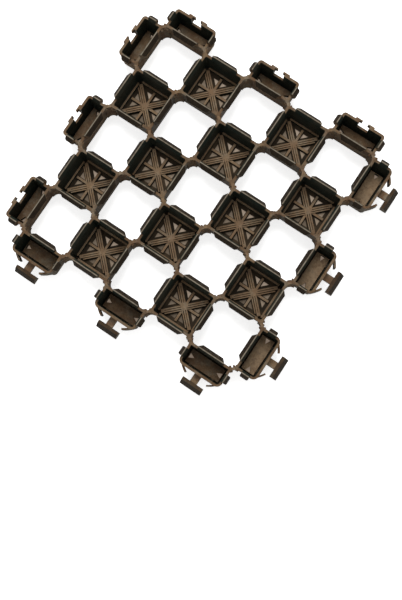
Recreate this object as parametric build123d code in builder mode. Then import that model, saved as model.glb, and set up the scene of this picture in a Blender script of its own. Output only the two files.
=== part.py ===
from build123d import *
from math import atan, degrees
import os

# One moulded ground grid tile, lying with its open cups upwards.
# X and Y run along its sides and Z is up, in millimetres.
# Cells lie on a square pattern: cups and open cells take turns, as on a chess board.
# The outer row on each side is made of half cups, which carry the connectors.

# Cell pattern
pitch = 83.0
rows = 6
height = 50.0

# Cup walls, which lean outwards from the tread face. They end below the rim,
# and only the part beside each tab rises to it, with a thinner edge.
rim_size = 81.0
tread_size = 74.0
wall = 4.3
wall_foot = 2.8
corner_cut = 1.2
rim_rise = 7.0
rim_width = 2.0
floor = 3.0

# Ribs on the cup's floor: bars along the walls, two diagonals and a lower cross.
# Each diagonal has a shallow groove along its top and a thin ridge beside it.
rib_height = 6.0
rib_span = 57.0
frame_width = 3.2
diagonal_width = 6.0
groove_width = 1.2
groove_depth = 1.2
groove_margin = 6.0
ridge_width = 1.8
ridge_offset = 5.2
brace_width = 4.0
brace_drop = 1.5

# Drain holes, eight triangles between the ribs
drain_leg = 10.0
drain_reach = 25.0
drain_clearance = 1.5

# Tread face
panel_size = 59.0
panel_depth = 1.0
pip_radius = 2.5
ring_radius = 3.2
ring_wall = 1.0
ring_inset = 7.0

# Spacer tabs on the outside of the walls
tab_length = 49.0
tab_reach = 5.6
tab_slope = 7.5
tab_edge = 3.5
end_tab_length = 15.0
end_tab_centre = 20.0
end_tab_cut = 1.5

# Webs that join the corners of the cups
web_radius = 10.5
web_bite = 0.7
web_drop = 7.5
web_height = 39.0

# Half cups on the sides of the tile, set back from the side line
slot_cup_inset = 2.0
lug_cup_inset = 1.0
slot_cup_corner = 3.0
lug_cup_corner = 7.0
half_floor = 8.0
gutter = 2.0
half_drain_base = 9.0
half_drain_height = 9.5

# T lug on the outer wall of a lug cup
stem_width = 13.0
stem_length = 14.7
stem_height = 4.0
lug_drop = 20.0
head_length = 39.0
head_width = 12.0
head_height = 15.5
head_slope_width = 7.0
head_slope_drop = 9.0

# Spring fingers beside the lug
finger_thickness = 3.0
finger_reach = 8.4
finger_tip = 20.0
finger_height = 18.0
finger_drop = 16.0
finger_bow = 1.0
finger_bite = 1.0

# Slot that takes the lug of the next tile, and the two hooks that the stem snaps under
slot_width = 19.5
slot_clearance = 0.5
hook_length = 8.0
hook_reach = 1.5
hook_drop = 8.5
hook_grip = 1.2
lip_thickness = 2.4
lip_height = 9.0

# Sizes that follow from those above
lean = (rim_size - tread_size) / 2 / height
draft = degrees(atan(lean))
rim_half = rim_size / 2
wall_top = height - rim_rise
inner_lean = lean - (wall - wall_foot) / wall_top
inner_draft = degrees(atan(inner_lean))
rib_top = floor + rib_height
slot_depth = lug_drop + stem_height + slot_clearance
finger_bottom = height - finger_drop - finger_height
hook_gap = stem_width - 2 * hook_grip
lug_reach = stem_length + head_width - lug_cup_inset
half_rows = rows // 2


def outer_half(z):
    # Distance from a cup's axis to the outside of its wall at a height.
    return tread_size / 2 + lean * z


def inner_half(z):
    # Distance from a cup's axis to the inside of its wall at a height.
    return tread_size / 2 - wall_foot + inner_lean * z


def tab_bar(length):
    # Straight bar with the section of a tab and the rim beside it, on the +Y wall.
    tip = rim_half + tab_reach
    wall_middle = outer_half(wall_top) - wall / 2
    tab_bottom = height - tab_slope - tab_edge
    with BuildPart() as bar:
        with BuildSketch(Plane.YZ):
            with BuildLine():
                Polyline((inner_half(wall_top), wall_top), (rim_half - rim_width, height),
                         (rim_half, height), (tip, height - tab_slope), (tip, tab_bottom),
                         (wall_middle, tab_bottom - tip + wall_middle), close=True)
            make_face()
        extrude(amount=length / 2, both=True)
    return bar.part


# Spacer tab on the +Y wall, with its ends cut at 45 degrees
with BuildPart() as tab:
    add(tab_bar(tab_length))
    with BuildSketch():
        with Locations((0, rim_half)):
            Rectangle(tab_length, rim_half, align=(Align.CENTER, Align.MAX))
            Trapezoid(tab_length, tab_reach, 45, align=(Align.CENTER, Align.MIN))
    extrude(amount=height, mode=Mode.INTERSECT)

# Short tab on the +X end wall of a half cup
with BuildPart() as end_tab:
    with Locations(Location((0, -end_tab_centre, 0), -90)):
        add(tab_bar(end_tab_length))
    chamfer(end_tab.edges().filter_by(Axis.Z).group_by(Axis.X)[-1], end_tab_cut)


# Full cup
with BuildPart() as cup:
    with BuildSketch():
        Rectangle(tread_size, tread_size)
        chamfer(vertices(), corner_cut)
    extrude(amount=wall_top, taper=-draft)
    # pocket, with a bar along the foot of each wall
    pocket_size = 2 * inner_half(floor)
    with BuildSketch(Plane.XY.offset(floor)):
        Rectangle(pocket_size, pocket_size)
        chamfer(vertices(), corner_cut)
    extrude(amount=wall_top - floor, taper=-inner_draft, mode=Mode.SUBTRACT)
    with BuildSketch(Plane.XY.offset(floor)):
        with PolarLocations(inner_half(rib_top) - frame_width, 4):
            Rectangle(frame_width + wall_foot / 2, rib_span, align=(Align.MIN, Align.CENTER))
    extrude(amount=rib_height)
    # diagonal ribs and their thin ridges
    diagonal_length = rib_span * 2 ** 0.5
    with BuildSketch(Plane.XY.offset(floor)):
        with Locations(Location((0, 0), 45), Location((0, 0), -45)):
            Rectangle(diagonal_length, diagonal_width)
            with Locations((0, -ridge_offset)):
                Rectangle(diagonal_length - 2 * ridge_offset, ridge_width)
    extrude(amount=rib_height)
    groove_length = diagonal_length / 2 - 2 * groove_margin
    with BuildSketch(Plane.XY.offset(rib_top)):
        with PolarLocations(groove_margin + groove_length / 2, 4, start_angle=45):
            Rectangle(groove_length, groove_width)
    extrude(amount=-groove_depth, mode=Mode.SUBTRACT)
    # lower ribs from side to side
    with BuildSketch(Plane.XY.offset(floor)):
        Rectangle(rib_span, brace_width)
        Rectangle(brace_width, rib_span)
    extrude(amount=rib_height - brace_drop)
    # drain holes on both sides of each lower rib
    hole_start = brace_width / 2 + drain_clearance
    with BuildSketch():
        with PolarLocations(0, 4):
            with BuildLine():
                Polyline((hole_start, drain_reach), (hole_start + drain_leg, drain_reach),
                         (hole_start, drain_reach - drain_leg), close=True)
            make_face()
            with BuildLine():
                Polyline((-hole_start, drain_reach), (-hole_start - drain_leg, drain_reach),
                         (-hole_start, drain_reach - drain_leg), close=True)
            make_face()
    extrude(amount=floor, mode=Mode.SUBTRACT)
    # recessed panel of the tread face, with a pip and four rings left standing
    with BuildSketch():
        Rectangle(panel_size, panel_size)
        Circle(pip_radius, mode=Mode.SUBTRACT)
        with GridLocations(panel_size - 2 * ring_inset, panel_size - 2 * ring_inset, 2, 2):
            Circle(ring_radius, mode=Mode.SUBTRACT)
            Circle(ring_radius - ring_wall)
    extrude(amount=panel_depth, mode=Mode.SUBTRACT)
    with PolarLocations(0, 4):
        add(tab.part)


def half_cup(inset, corner_radius):
    # Half cup without its connectors. The tile's side line is y = 0 and +Y points outwards.
    middle = -(outer_half(wall_top) + inset) / 2
    tread_depth = outer_half(wall_top) - inset - 2 * lean * wall_top
    pocket_length = 2 * inner_half(floor)
    pocket_depth = tread_depth - 2 * wall_foot + 2 * inner_lean * floor
    island_length = pocket_length - 2 * gutter
    with BuildPart() as half:
        with BuildSketch():
            with Locations((0, middle)):
                Rectangle(tread_size, tread_depth)
            fillet(vertices().group_by(Axis.Y)[-1], corner_radius)
        extrude(amount=wall_top, taper=-draft)
        with BuildSketch(Plane.XY.offset(floor)):
            with Locations((0, middle)):
                Rectangle(pocket_length, pocket_depth)
            fillet(vertices().group_by(Axis.Y)[-1], max(corner_radius - wall, corner_cut))
        extrude(amount=wall_top - floor, taper=-inner_draft, mode=Mode.SUBTRACT)
        # raised floor with a gutter around it
        with BuildSketch(Plane.XY.offset(floor)):
            with Locations((0, middle)):
                Rectangle(island_length, pocket_depth - 2 * gutter)
        extrude(amount=half_floor - floor)
        # drain hole at each end, pointing inwards
        with BuildSketch():
            for side in (-1, 1):
                base = side * (island_length / 2 - gutter / 2)
                with BuildLine():
                    Polyline((base - side * half_drain_height, middle), (base, middle - half_drain_base / 2),
                             (base, middle + half_drain_base / 2), close=True)
                make_face()
        extrude(amount=half_floor, mode=Mode.SUBTRACT)
        # recessed panel of the tread face, with two rings left standing
        with BuildSketch():
            with Locations((0, middle)):
                Rectangle(panel_size, tread_depth - (tread_size - panel_size))
                with GridLocations(panel_size / 2, 1, 2, 1):
                    Circle(ring_radius, mode=Mode.SUBTRACT)
                    Circle(ring_radius - ring_wall)
        extrude(amount=panel_depth, mode=Mode.SUBTRACT)
        add(end_tab.part)
        add(end_tab.part.mirror(Plane.YZ))
        # tab on the inner wall
        with Locations(Location((0, 0, 0), 180)):
            add(tab.part)
    return half.part


# Half cup with the slot and its two hooks
with BuildPart() as slot_cup:
    add(half_cup(slot_cup_inset, slot_cup_corner))
    wall_line = -slot_cup_inset - wall / 2
    with BuildSketch(Plane.XY.offset(height - slot_depth)):
        with Locations((0, wall_line)):
            Rectangle(slot_width, 2 * wall)
    extrude(amount=slot_depth - rim_rise, mode=Mode.SUBTRACT)
    # pads beside the slot
    with BuildSketch(Plane.XY.offset(height - slot_depth)):
        for side in (-1, 1):
            with Locations((side * (slot_width + hook_length) / 2, hook_reach)):
                Rectangle(hook_length, hook_reach - wall_line, align=(Align.CENTER, Align.MAX))
    extrude(amount=slot_depth - hook_drop)
    # lips that reach over the slot from the pads
    with BuildSketch(Plane.XY.offset(height - hook_drop - lip_height)):
        for side in (-1, 1):
            lip_length = (slot_width - hook_gap + hook_length) / 2
            with Locations((side * (hook_gap + lip_length) / 2, hook_reach)):
                Rectangle(lip_length, lip_thickness, align=(Align.CENTER, Align.MAX))
    extrude(amount=lip_height)

# Half cup with the T lug and its two spring fingers
with BuildPart() as lug_cup:
    add(half_cup(lug_cup_inset, lug_cup_corner))
    lug_top = height - lug_drop
    stem_end = stem_length - lug_cup_inset
    with BuildSketch(Plane.XY.offset(lug_top)):
        with Locations((0, stem_end)):
            Rectangle(stem_width, stem_length + wall, align=(Align.CENTER, Align.MAX))
    extrude(amount=-stem_height)
    with BuildSketch(Plane.XY.offset(lug_top)):
        with Locations((0, stem_end)):
            Rectangle(head_length, head_width, align=(Align.CENTER, Align.MIN))
    extrude(amount=-head_height)
    # guiding slope along the outer edge of the head
    with BuildSketch(Plane.YZ):
        with BuildLine():
            Polyline((lug_reach, lug_top), (lug_reach - head_slope_width, lug_top),
                     (lug_reach, lug_top - head_slope_drop), close=True)
        make_face()
    extrude(amount=head_length / 2, both=True, mode=Mode.SUBTRACT)
    # spring fingers, rooted in the rounded corners of the wall
    root_inset = lug_cup_corner * (1 - 0.5 ** 0.5) + finger_bite
    root_y = -lug_cup_inset - lean * (wall_top - finger_bottom) - root_inset
    with BuildSketch(Plane.XY.offset(finger_bottom)):
        for side in (-1, 1):
            with BuildLine():
                root = (side * (outer_half(finger_bottom) - root_inset), root_y)
                tip = (side * finger_tip, finger_reach - lug_cup_inset - finger_thickness / 2)
                bend = ((root[0] + tip[0]) / 2, (root[1] + tip[1]) / 2 + finger_bow)
                ThreePointArc(root, bend, tip)
            trace(line_width=finger_thickness)
    extrude(amount=finger_height)


# Web between two cups that stand at its upper left and lower right, with two hollow edges
web_bottom = height - web_drop - web_height
web_gap = pitch / 2 - outer_half(height - web_drop)
web_root = pitch / 2 - outer_half(web_bottom) + web_bite
web_end = web_radius - web_gap
web_waist = web_radius * (1 - 0.5 ** 0.5) - web_gap
with BuildPart() as web:
    with BuildSketch(Plane.XY.offset(web_bottom)):
        with BuildLine():
            for side in (-1, 1):
                arc_start = (-side * web_gap, side * web_end)
                arc_end = (side * web_end, -side * web_gap)
                Polyline((-side * web_root, side * web_root), (-side * web_root, side * web_end), arc_start)
                ThreePointArc(arc_start, (side * web_waist, side * web_waist), arc_end)
                Polyline(arc_end, (side * web_end, -side * web_root), (side * web_root, -side * web_root))
        make_face()
    extrude(amount=web_height)


# Places of the cells and webs, counted in cells from the tile's middle
shift = (lug_reach - hook_reach) / 2
odd = range(1 - half_rows, half_rows, 2)
inner = range(1 - half_rows, half_rows)


def place(column, row, turn=0):
    # Place of a cell. The tile's box, with its lugs, has its middle at X = Y = 0.
    return Location((column * pitch - shift, row * pitch + shift, 0), turn)


cup_places = [place(x, y) for x in inner for y in inner if (x + y) % 2]
slot_places = [place(x, half_rows) for x in odd] + [place(-half_rows, y, 90) for y in odd]
lug_places = [place(x, -half_rows, 180) for x in odd] + [place(half_rows, y, -90) for y in odd]
web_places = [place(x + 0.5, y + 0.5, (x + y) % 2 * 90)
              for x in range(-half_rows, half_rows) for y in range(-half_rows, half_rows)]

# The whole tile, moulded as one piece
with BuildPart() as ground_grid:
    for sub_part, places in ((cup.part, cup_places), (slot_cup.part, slot_places),
                             (lug_cup.part, lug_places), (web.part, web_places)):
        with Locations(*places):
            add(sub_part)

ground_grid.part.label = "ground_grid"
os.makedirs("parts", exist_ok=True)
export_step(ground_grid.part, "parts/ground_grid.step")
box = ground_grid.part.bounding_box()
print("solids", len(ground_grid.part.solids()), "faces", len(ground_grid.part.faces()),
      "volume", ground_grid.part.volume, "box", box)
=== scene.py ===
from math import radians
from random import Random

import bpy
from mathutils import Euler, Matrix, Vector


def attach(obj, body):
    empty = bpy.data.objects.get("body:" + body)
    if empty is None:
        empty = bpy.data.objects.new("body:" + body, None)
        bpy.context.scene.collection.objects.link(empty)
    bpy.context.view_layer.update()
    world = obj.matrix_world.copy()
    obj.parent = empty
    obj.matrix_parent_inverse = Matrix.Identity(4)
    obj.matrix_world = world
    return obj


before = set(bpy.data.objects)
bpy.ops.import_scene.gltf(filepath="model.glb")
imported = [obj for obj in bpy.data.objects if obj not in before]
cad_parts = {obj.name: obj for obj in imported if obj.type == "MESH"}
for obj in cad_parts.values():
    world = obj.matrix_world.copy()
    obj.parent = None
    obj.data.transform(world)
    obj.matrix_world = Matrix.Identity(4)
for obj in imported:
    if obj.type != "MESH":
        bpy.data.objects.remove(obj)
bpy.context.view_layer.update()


def around(value, fade):
    """Limits of a ramp that rises past a value, or falls where fade is below 0."""
    return value - fade, value + fade


# Lengths are in metres. A pair is the start and the end of a ramp from 0 to 1.

# Pattern of the tile: cells, the shift of its middle and the middle of the leaning walls
PITCH = 0.083
SHIFT = 0.0121
WALL_FOOT = 0.0356
WALL_LEAN = 0.055
SIDE_FOOT = 0.2430
CORNER_CUT = 0.0028
FULL_REACH = 2.5 * PITCH
WEB_CORNER = (0.032, 0.034)
LUG_SIDE = (0.200, 0.212)
SLOT_SIDE = (0.185, 0.205)
LUG_HEAD = (0.2615, 0.2621)

# Levels above the tread face
CUP_FLOOR = (0.0065, 0.0045)
RIB_LEVEL = (0.012, 0.010)
GROOVE_LEVEL = (0.0086, 0.0080)
WALL_TOP_FROM = (0.0426, 0.0429)
WALL_TOP_TO = (0.046, 0.044)
RIM_LEVEL = (0.0492, 0.0498)

# Distances within a cell
GROOVE_WIDTH = (0.0011, 0.0008)
RIM_INNER = (0.0384, 0.0390)
RIM_OUTER = (0.0405, 0.0400)
DRAIN_START = around(0.0035, 0.0004)
DRAIN_REACH = around(0.025, -0.0006)
DRAIN_SLANT = around(0.0115, 0.0006)

# Z of a face's normal: flat faces, slopes and the underside, and the bend at an edge
FLAT = (0.85, 0.95)
SLOPE = (0.35, 0.55)
UNDERSIDE = (-0.85, -0.95)
EDGE_BEND = (0.995, 0.86)
EDGE_RADIUS = 0.0008
EDGE_SAMPLES = 6

# Noise: scale, detail and roughness, then the values that become 0 and 1
SOIL_PATCHES = (46, 6.0, 0.7, 0.40, 0.60)
SOIL_SHADES = (83, 4.0, 0.6, 0.42, 0.60)
SOIL_GRAINS = (480, 4.0, 0.75, 0.36, 0.64)
SOIL_BLOTS = (150, 3.0, 0.6, 0.44, 0.62)
RUBBED_PATCHES = (95, 4.0, 0.6, 0.36, 0.58)
SMEARS = (33, 5.0, 0.6, 0.35, 0.70)
SPOTS = (130, 4.0, 0.7, 0.30, 0.66)
CRUST_SPOTS = (210, 5.0, 0.75, 0.38, 0.60)

# How much of the second colour covers the first
HOLLOW_PAINTED_SHADE = 0.42
BLOT_DARK = 0.42
PLASTIC_BROWN = 0.75
CRUMB_BROWN = 0.9
SPLASH_LEAST = 0.16
SPLASH_AT_SLOTS = 0.40
SPLASH_IN_SPOTS = 0.38
FILM_SOIL = 0.10
DRAIN_SHADE = 0.55
RIB_PALE = 0.26
GROOVE_SHADE = 0.85
WALL_TOP_DARK = 0.26
HALF_CUP_SHADE = 0.32
CRUST_AND_LIGHT_LEAST = 0.34
CRUST_AND_LIGHT_IN_SPOTS = 0.56
HEAD_FILM = 0.68
TREAD_SOIL = 0.35
RIM_LEAST = 0.40
RIM_IN_SPOTS = 0.55
EDGE_RUBBED = 0.26

# Gloss and bumps. Bump noise: scale, detail and roughness
SPECULAR = 0.09
PLASTIC_ROUGHNESS = 0.56
SOIL_ROUGHER = 0.34
CRUMB_ROUGHNESS = 0.92
CLUMP_HEIGHT = 0.6
PLASTIC_GRAIN = (160, 5.0, 0.65)
PLASTIC_BUMP = (0.55, 0.0007)
CRUMB_GRAIN = (310, 4.0, 0.7)
CRUMB_BUMP = (0.8, 0.0008)

# Cells from the tile's middle to a side. Webs between the cups' corners: half their width at the
# waist, the radius of their sides, their top. Crumbs lie along both sides of each web: spread and
# size are in metres, depth and overhang in sizes of a crumb.
HALF_ROWS = 3
WEB_WAIST = 0.0022
WEB_RADIUS = 0.0105
WEB_TOP = 0.0425
CRUMBS_A_SIDE = 4
CRUMB_SEED = 11
CRUMB_SPREAD = 0.0062
CRUMB_SIZE = (0.0011, 0.0026)
CRUMB_DEPTH = (0.75, 2.6)
CRUMB_OVERHANG = (-0.25, 0.35)
CRUMB_STRETCH = (0.8, 1.25)
FULL_TURN = 6.28

# Camera, fitted to the corners of the cups
CAMERA_PLACE = (0.20595, -0.21735, 1.2584)
CAMERA_TURN = (6.311, 2.281, 33.776)
CAMERA_LENS = 45.42
FRAME_HEIGHT = 36.0

# Studio
FLOOR_SIZE = 6.0
FLOOR_COLOUR = (0.80, 0.80, 0.79, 1)
FLOOR_GLOW = (0.72, 0.72, 0.72, 1)
UNDER_COLOUR = (0.42, 0.35, 0.27, 1)
UNDER_PAINTED_GLOW = (0.17, 0.13, 0.10, 1)
WORLD_COLOUR = (1, 1, 1, 1)
WORLD_LIGHT = 0.58
KEY_PLACE = (-0.8, 1.2, 2.4)
KEY_SIZE = 1.8
KEY_POWER = 62

# Colours of the plastic and of the soil on it
PLASTIC_DARK = (0.012, 0.018, 0.014, 1)
PLASTIC_GREY = (0.032, 0.030, 0.021, 1)
SOIL_TAN = (0.225, 0.148, 0.084, 1)
SOIL_BROWN = (0.135, 0.068, 0.035, 1)
SOIL_GREY = (0.235, 0.185, 0.130, 1)
SOIL_DARK = (0.055, 0.038, 0.022, 1)
SOIL_PALE = (0.340, 0.235, 0.142, 1)
SOIL_DRAIN = (0.310, 0.240, 0.175, 1)
SLOPE_FILM = (0.015, 0.011, 0.007, 1)
TREAD_FILM = (0.050, 0.037, 0.027, 1)
RIM_WORN_AND_LIT = (0.250, 0.217, 0.168, 1)
EDGE_WORN = (0.120, 0.098, 0.070, 1)
# painted shade for the creases and the deep floor of the cups
CREASE_SHADE = (0.024, 0.018, 0.012, 1)


def new_group(name, inputs, outputs):
    """Start a shader node group. Inputs and outputs are pairs of a name and a kind."""
    tree = bpy.data.node_groups.new(name, "ShaderNodeTree")
    for way, sockets in (("INPUT", inputs), ("OUTPUT", outputs)):
        for label, kind in sockets:
            tree.interface.new_socket(label, in_out=way, socket_type="NodeSocket" + kind)
    given = tree.nodes.new("NodeGroupInput").outputs
    result = tree.nodes.new("NodeGroupOutput").inputs
    return tree, given, result


def use_group(tree, group, **inputs):
    made = tree.nodes.new("ShaderNodeGroup")
    made.node_tree = group
    for name, value in inputs.items():
        feed(tree, made.inputs[name], value)
    return made.outputs


def feed(tree, socket, value):
    """Give a socket a constant, or link it to another socket."""
    if isinstance(value, (int, float, tuple)):
        socket.default_value = value
    else:
        tree.links.new(value, socket)


def maths(tree, operation, *values):
    made = tree.nodes.new("ShaderNodeMath")
    made.operation = operation
    for socket, value in zip(made.inputs, values):
        feed(tree, socket, value)
    return made.outputs[0]


def plus(tree, first, second):
    return maths(tree, "ADD", first, second)


def minus(tree, first, second):
    return maths(tree, "SUBTRACT", first, second)


def times(tree, first, second):
    return maths(tree, "MULTIPLY", first, second)


def larger(tree, first, second):
    return maths(tree, "MAXIMUM", first, second)


def ramp(tree, value, limits):
    """Map the limits to 0 and 1 with soft ends."""
    made = tree.nodes.new("ShaderNodeMapRange")
    made.interpolation_type = "SMOOTHSTEP"
    feed(tree, made.inputs["Value"], value)
    made.inputs["From Min"].default_value, made.inputs["From Max"].default_value = limits
    return made.outputs["Result"]


def mix(tree, factor, first, second):
    """Cover the first colour with the second."""
    made = tree.nodes.new("ShaderNodeMix")
    made.data_type = "RGBA"
    sockets = (made.inputs[0], made.inputs[6], made.inputs[7])
    for socket, value in zip(sockets, (factor, first, second)):
        feed(tree, socket, value)
    return made.outputs[2]


def noise(tree, where, scale, detail, roughness):
    made = tree.nodes.new("ShaderNodeTexNoise")
    made.inputs["Scale"].default_value = scale
    made.inputs["Detail"].default_value = detail
    made.inputs["Roughness"].default_value = roughness
    feed(tree, made.inputs["Vector"], where)
    return made.outputs["Fac"]


def blotches(tree, where, pattern):
    """Noise with its contrast raised."""
    scale, detail, roughness, low, high = pattern
    return ramp(tree, noise(tree, where, scale, detail, roughness), (low, high))


def parts_of(tree, vector):
    made = tree.nodes.new("ShaderNodeSeparateXYZ")
    feed(tree, made.inputs[0], vector)
    return made.outputs


def pattern_group():
    """Where a place lies in the tile's pattern.

    Inside is 1 within the cups' walls. Far and Near are the larger and the smaller distance from
    the middle of the cell, and Lower is 1 in its -Y quarter. Reach is the larger distance from the
    tile's middle, and Full is 1 where the cups are whole. Web is 1 at the corners of the cells.
    Lug Side is 1 along the +X side, and Slot Side along both sides with slots.
    """
    names = ("Inside", "Far", "Near", "Lower", "Reach", "Full", "Web", "Lug Side", "Slot Side")
    tree, given, result = new_group("cup_pattern", [("Place", "Vector")],
                                    [(name, "Float") for name in names])
    place = parts_of(tree, given["Place"])
    numbers, offsets, across = [], [], []
    for axis, sign in (("X", 1), ("Y", -1)):
        distance = plus(tree, place[axis], sign * SHIFT)
        number = maths(tree, "ROUND", maths(tree, "DIVIDE", distance, PITCH))
        numbers.append(number)
        across.append(distance)
        offsets.append(minus(tree, distance, times(tree, number, PITCH)))
    sizes = [maths(tree, "ABSOLUTE", offset) for offset in offsets]
    far = larger(tree, *sizes)
    near = maths(tree, "MINIMUM", *sizes)
    reach = larger(tree, *[maths(tree, "ABSOLUTE", distance) for distance in across])
    # cups stand where the two cell numbers add up to an odd number
    half_sum = times(tree, plus(tree, *numbers), 0.5)
    odd = maths(tree, "GREATER_THAN", maths(tree, "FRACT", half_sum), 0.25)
    # middle of the leaning walls
    lean = times(tree, place["Z"], WALL_LEAN)
    room = minus(tree, plus(tree, lean, WALL_FOOT), far)
    side_room = minus(tree, plus(tree, lean, SIDE_FOOT), reach)
    # the outer corners of the half cups are round
    in_corner = maths(tree, "GREATER_THAN", plus(tree, room, side_room), CORNER_CUT)
    within = maths(tree, "GREATER_THAN", maths(tree, "MINIMUM", room, side_room), 0.0)
    inside = times(tree, odd, times(tree, within, in_corner))
    lower = maths(tree, "LESS_THAN", plus(tree, offsets[1], sizes[0]), 0.0)
    full = maths(tree, "LESS_THAN", reach, FULL_REACH)
    web = ramp(tree, near, WEB_CORNER)
    lug_side = ramp(tree, across[0], LUG_SIDE)
    slot_side = ramp(tree, larger(tree, across[1], times(tree, across[0], -1.0)), SLOT_SIDE)
    values = (inside, far, near, lower, reach, full, web, lug_side, slot_side)
    for name, value in zip(names, values):
        tree.links.new(value, result[name])
    return tree


def soil_group():
    """Dried soil in patches of tan, brown and grey, with dark blots and painted shade in the
    hollows of its bumps.
    """
    tree, given, result = new_group("dried_soil", [("Place", "Vector"), ("Brown", "Float")],
                                    [("Color", "Color"), ("Clumps", "Float")])
    place = given["Place"]
    light = mix(tree, blotches(tree, place, SOIL_SHADES), SOIL_TAN, SOIL_GREY)
    patches = times(tree, blotches(tree, place, SOIL_PATCHES), given["Brown"])
    tint = mix(tree, patches, light, SOIL_BROWN)
    grains = blotches(tree, place, SOIL_GRAINS)
    # painted shade: the soil is darker where its bump is low
    hollow_shade = times(tree, minus(tree, 1.0, grains), HOLLOW_PAINTED_SHADE)
    blots = times(tree, blotches(tree, place, SOIL_BLOTS), BLOT_DARK)
    shaded = mix(tree, larger(tree, hollow_shade, blots), tint, SOIL_DARK)
    tree.links.new(shaded, result["Color"])
    tree.links.new(grains, result["Clumps"])
    return tree


def edge_group():
    """1 near the edges of the plastic, in the patches where they are rubbed light."""
    tree, given, result = new_group("rubbed_edges", [("Place", "Vector")], [("Edge", "Float")])
    bevel = tree.nodes.new("ShaderNodeBevel")
    bevel.samples = EDGE_SAMPLES
    bevel.inputs["Radius"].default_value = EDGE_RADIUS
    flat = tree.nodes.new("ShaderNodeNewGeometry")
    dot = tree.nodes.new("ShaderNodeVectorMath")
    dot.operation = "DOT_PRODUCT"
    tree.links.new(bevel.outputs["Normal"], dot.inputs[0])
    tree.links.new(flat.outputs["Normal"], dot.inputs[1])
    bend = ramp(tree, dot.outputs["Value"], EDGE_BEND)
    edge = times(tree, bend, blotches(tree, given["Place"], RUBBED_PATCHES))
    tree.links.new(edge, result["Edge"])
    return tree


def start_material(name):
    """New material. Returns it with its tree, its shader and the place on the object."""
    made = bpy.data.materials.new(name)
    made.use_nodes = True
    tree = made.node_tree
    shader = tree.nodes["Principled BSDF"]
    shader.inputs["Specular IOR Level"].default_value = SPECULAR
    return made, tree, shader, tree.nodes.new("ShaderNodeTexCoord").outputs["Object"]


def add_bump(tree, shader, height, strength, distance):
    bump = tree.nodes.new("ShaderNodeBump")
    bump.inputs["Strength"].default_value = strength
    bump.inputs["Distance"].default_value = distance
    tree.links.new(height, bump.inputs["Height"])
    tree.links.new(bump.outputs["Normal"], shader.inputs["Normal"])


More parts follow.
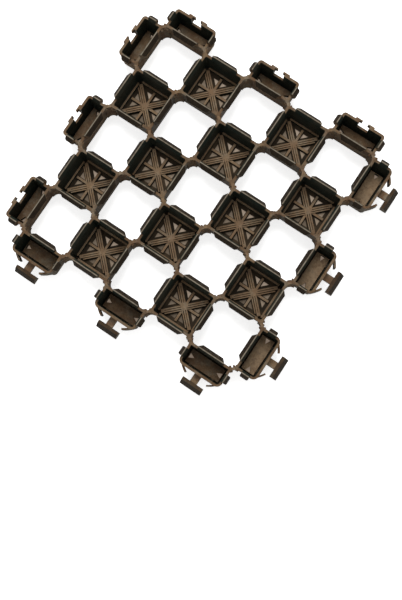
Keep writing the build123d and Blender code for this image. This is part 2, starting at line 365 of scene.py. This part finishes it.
def plastic_material():
    made, tree, shader, place = start_material("soiled_black_plastic")
    normal = tree.nodes.new("ShaderNodeNewGeometry").outputs["True Normal"]
    level = parts_of(tree, place)["Z"]
    up = parts_of(tree, normal)["Z"]
    where = use_group(tree, pattern_group(), Place=place)
    inside, far, near = where["Inside"], where["Far"], where["Near"]
    soil = use_group(tree, soil_group(), Place=place, Brown=PLASTIC_BROWN)
    edge = use_group(tree, edge_group(), Place=place)["Edge"]
    smears = blotches(tree, place, SMEARS)
    spots = blotches(tree, place, SPOTS)
    flat = ramp(tree, up, FLAT)
    sloping = times(tree, ramp(tree, up, SLOPE), minus(tree, 1.0, flat))

    # upright faces: bare plastic inside the cups, splashed with soil outside, most on the slot
    # sides and the webs
    bare = mix(tree, smears, PLASTIC_DARK, PLASTIC_GREY)
    at_slots = times(tree, larger(tree, where["Slot Side"], where["Web"]), SPLASH_AT_SLOTS)
    in_spots = times(tree, spots, SPLASH_IN_SPOTS)
    amount = plus(tree, plus(tree, SPLASH_LEAST, at_slots), in_spots)
    splash = times(tree, minus(tree, 1.0, inside), amount)
    upright = mix(tree, splash, bare, soil["Color"])
    # sloping faces hold a thin dark film
    film = mix(tree, times(tree, spots, FILM_SOIL), SLOPE_FILM, soil["Color"])
    leaning = mix(tree, sloping, upright, film)

    # floors of the cups. Only the two drains on the +Y side of a cup are open in the solids: the
    # other six are closed, and the places of all eight are coloured here as caked with soil.
    slant = minus(tree, far, near)
    drain = times(tree, ramp(tree, near, DRAIN_START),
                  times(tree, ramp(tree, far, DRAIN_REACH), ramp(tree, slant, DRAIN_SLANT)))
    # painted shade: the drains in the -Y quarter of a cup are darker
    shade = minus(tree, 1.0, times(tree, where["Lower"], DRAIN_SHADE))
    # painted shade: the deep floor between the ribs is darkened
    shaded_floor = mix(tree, smears, CREASE_SHADE, SOIL_DARK)
    shaded_floor = mix(tree, times(tree, drain, shade), shaded_floor, SOIL_DRAIN)
    # ribs with pale soil on them, and painted shade in the grooves of the diagonal ones
    low = times(tree, inside, ramp(tree, level, RIB_LEVEL))
    ribs = times(tree, low, where["Full"])
    cover = mix(tree, times(tree, ribs, RIB_PALE), soil["Color"], SOIL_PALE)
    groove = times(tree, ramp(tree, slant, GROOVE_WIDTH), ramp(tree, level, GROOVE_LEVEL))
    groove = times(tree, ribs, groove)
    cover = mix(tree, times(tree, groove, GROOVE_SHADE), cover, CREASE_SHADE)
    # the tops of the walls are darker, and the half cups that are not on the +X side are darker as
    # painted shade
    tops = times(tree, ramp(tree, level, WALL_TOP_FROM), ramp(tree, level, WALL_TOP_TO))
    cover = mix(tree, times(tree, tops, WALL_TOP_DARK), cover, SOIL_DARK)
    other = minus(tree, 1.0, larger(tree, where["Full"], where["Lug Side"]))
    shaded_half = times(tree, low, other)
    cover = mix(tree, times(tree, shaded_half, HALF_CUP_SHADE), cover, SOIL_DARK)
    # dry pale soil in the half cups of the +X side, partly painted light on their floors, and a
    # darker film on the heads of the lugs
    crust_spots = times(tree, blotches(tree, place, CRUST_SPOTS), CRUST_AND_LIGHT_IN_SPOTS)
    crust_and_light = plus(tree, CRUST_AND_LIGHT_LEAST, crust_spots)
    pale_and_lit = times(tree, where["Lug Side"], low)
    cover = mix(tree, times(tree, pale_and_lit, crust_and_light), cover, SOIL_PALE)
    heads = ramp(tree, where["Reach"], LUG_HEAD)
    cover = mix(tree, times(tree, heads, HEAD_FILM), cover, SLOPE_FILM)
    deep = times(tree, ramp(tree, level, CUP_FLOOR), inside)
    cover = mix(tree, deep, cover, shaded_floor)
    covered = mix(tree, flat, leaning, cover)
    # the tread face on the underside
    tread = mix(tree, times(tree, spots, TREAD_SOIL), TREAD_FILM, soil["Color"])
    covered = mix(tree, ramp(tree, up, UNDERSIDE), covered, tread)

    # the rims get a light line, partly wear and partly a painted highlight; other edges are rubbed
    # light, more weakly
    rim = times(tree, ramp(tree, level, RIM_LEVEL), flat)
    line = times(tree, ramp(tree, far, RIM_INNER), ramp(tree, far, RIM_OUTER))
    line = times(tree, line, plus(tree, RIM_LEAST, times(tree, spots, RIM_IN_SPOTS)))
    worn = mix(tree, times(tree, edge, EDGE_RUBBED), covered, EDGE_WORN)
    colour = mix(tree, rim, worn, mix(tree, line, SOIL_DARK, RIM_WORN_AND_LIT))
    tree.links.new(colour, shader.inputs["Base Color"])

    rougher = times(tree, larger(tree, flat, splash), SOIL_ROUGHER)
    tree.links.new(plus(tree, PLASTIC_ROUGHNESS, rougher), shader.inputs["Roughness"])
    grain = noise(tree, place, *PLASTIC_GRAIN)
    height = plus(tree, times(tree, soil["Clumps"], CLUMP_HEIGHT), grain)
    add_bump(tree, shader, height, *PLASTIC_BUMP)
    return made


def crumb_material():
    made, tree, shader, place = start_material("crumbly_soil")
    shader.inputs["Roughness"].default_value = CRUMB_ROUGHNESS
    soil = use_group(tree, bpy.data.node_groups["dried_soil"], Place=place, Brown=CRUMB_BROWN)
    tree.links.new(soil["Color"], shader.inputs["Base Color"])
    height = plus(tree, soil["Clumps"], noise(tree, place, *CRUMB_GRAIN))
    add_bump(tree, shader, height, *CRUMB_BUMP)
    return made


def crumb_places(draw):
    """Yield the matrix of each crumb, along both sides of every web."""
    for column in range(-HALF_ROWS, HALF_ROWS):
        for row in range(-HALF_ROWS, HALF_ROWS):
            slant = 1 if (column + row) % 2 == 0 else -1
            for side in (-1, 1):
                outwards = Vector((side, side * slant, 0)).normalized()
                along = Vector((-outwards.y, outwards.x, 0))
                for _ in range(CRUMBS_A_SIDE):
                    shift = draw.uniform(-CRUMB_SPREAD, CRUMB_SPREAD)
                    edge = WEB_WAIST + WEB_RADIUS - (WEB_RADIUS ** 2 - shift ** 2) ** 0.5
                    size = draw.uniform(*CRUMB_SIZE)
                    middle = Vector(((column + 0.5) * PITCH - SHIFT, (row + 0.5) * PITCH + SHIFT,
                                     WEB_TOP - size * draw.uniform(*CRUMB_DEPTH)))
                    out = edge + size * draw.uniform(*CRUMB_OVERHANG)
                    middle += outwards * out + along * shift
                    turn = Euler([draw.uniform(0, FULL_TURN) for _ in range(3)])
                    sizes = [size * draw.uniform(*CRUMB_STRETCH) for _ in range(3)]
                    scale = Matrix.Diagonal(sizes + [1])
                    yield Matrix.Translation(middle) @ scale @ turn.to_matrix().to_4x4()


def make_crumbs():
    """Crumbs of dried soil along the sides of the webs, as one piece."""
    bpy.ops.object.select_all(action="DESELECT")
    bpy.ops.mesh.primitive_ico_sphere_add(subdivisions=2, radius=1.0)
    crumbs = bpy.context.object
    crumbs.name = "soil_crumbs"
    bpy.ops.object.mode_set(mode="EDIT")
    bpy.ops.mesh.select_all(action="SELECT")
    bpy.ops.transform.vertex_random(offset=0.22, uniform=0.6, normal=0.4, seed=CRUMB_SEED)
    bpy.ops.object.mode_set(mode="OBJECT")
    pattern = crumbs.data
    meshes = []
    for place in crumb_places(Random(CRUMB_SEED)):
        mesh = pattern.copy()
        mesh.transform(place)
        meshes.append(mesh)
    crumbs.data = meshes[0]
    for mesh in meshes[1:]:
        made = bpy.data.objects.new("crumb", mesh)
        bpy.context.collection.objects.link(made)
        made.select_set(True)
    bpy.context.view_layer.objects.active = crumbs
    bpy.ops.object.join()
    bpy.data.meshes.remove(pattern)
    crumbs.data.materials.append(crumb_material())
    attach(crumbs, "root")


def dress_grid():
    tile = bpy.data.objects["ground_grid"]
    tile.data.materials.clear()
    tile.data.materials.append(plastic_material())


def seen_directly(tree):
    """1 for rays from the camera, from gloss and through glass, 0 for those that carry light."""
    path = tree.nodes.new("ShaderNodeLightPath").outputs
    camera_or_gloss = larger(tree, path["Is Camera Ray"], path["Is Glossy Ray"])
    return larger(tree, camera_or_gloss, path["Is Transmission Ray"])


def floor_material():
    """White that glows to the camera, but brown under the cups, where open drains show it, with a
    weaker brown glow there that is painted light.
    """
    made = bpy.data.materials.new("white_floor")
    made.use_nodes = True
    tree = made.node_tree
    tree.nodes.clear()
    end = tree.nodes.new("ShaderNodeOutputMaterial")
    matt = tree.nodes.new("ShaderNodeBsdfDiffuse")
    glow = tree.nodes.new("ShaderNodeEmission")
    both = tree.nodes.new("ShaderNodeAddShader")
    place = tree.nodes.new("ShaderNodeTexCoord").outputs["Object"]
    under = use_group(tree, bpy.data.node_groups["cup_pattern"], Place=place)["Inside"]
    tree.links.new(mix(tree, under, FLOOR_COLOUR, UNDER_COLOUR), matt.inputs["Color"])
    # painted light: under the cups the floor glows a weaker brown, as lit ground seen through the
    # drains
    tree.links.new(mix(tree, under, FLOOR_GLOW, UNDER_PAINTED_GLOW), glow.inputs["Color"])
    tree.links.new(seen_directly(tree), glow.inputs["Strength"])
    tree.links.new(matt.outputs[0], both.inputs[0])
    tree.links.new(glow.outputs[0], both.inputs[1])
    tree.links.new(both.outputs[0], end.inputs["Surface"])
    return made


def make_floor():
    bpy.ops.object.select_all(action="DESELECT")
    bpy.ops.mesh.primitive_plane_add(size=FLOOR_SIZE)
    floor = bpy.context.object
    floor.name = "studio_floor"
    floor.data.materials.append(floor_material())


def make_light():
    world = bpy.data.worlds.new("studio")
    bpy.context.scene.world = world
    world.use_nodes = True
    tree = world.node_tree
    sky = tree.nodes["Background"]
    sky.inputs["Color"].default_value = WORLD_COLOUR
    # full strength where it is seen, weaker as light
    seen = times(tree, seen_directly(tree), 1.0 - WORLD_LIGHT)
    tree.links.new(plus(tree, seen, WORLD_LIGHT), sky.inputs["Strength"])
    data = bpy.data.lights.new("key", "AREA")
    data.shape = "DISK"
    data.size = KEY_SIZE
    data.energy = KEY_POWER
    lamp = bpy.data.objects.new("key", data)
    bpy.context.collection.objects.link(lamp)
    lamp.location = KEY_PLACE
    lamp.rotation_euler = (-Vector(KEY_PLACE)).to_track_quat("-Z", "Y").to_euler()


def make_camera():
    data = bpy.data.cameras.new("camera")
    data.sensor_fit = "VERTICAL"
    data.sensor_height = FRAME_HEIGHT
    data.lens = CAMERA_LENS
    camera = bpy.data.objects.new("camera", data)
    bpy.context.collection.objects.link(camera)
    camera.location = CAMERA_PLACE
    camera.rotation_euler = [radians(angle) for angle in CAMERA_TURN]
    bpy.context.scene.camera = camera


dress_grid()
make_crumbs()
make_floor()
make_light()
make_camera()

bpy.context.scene.view_settings.view_transform = "Standard"
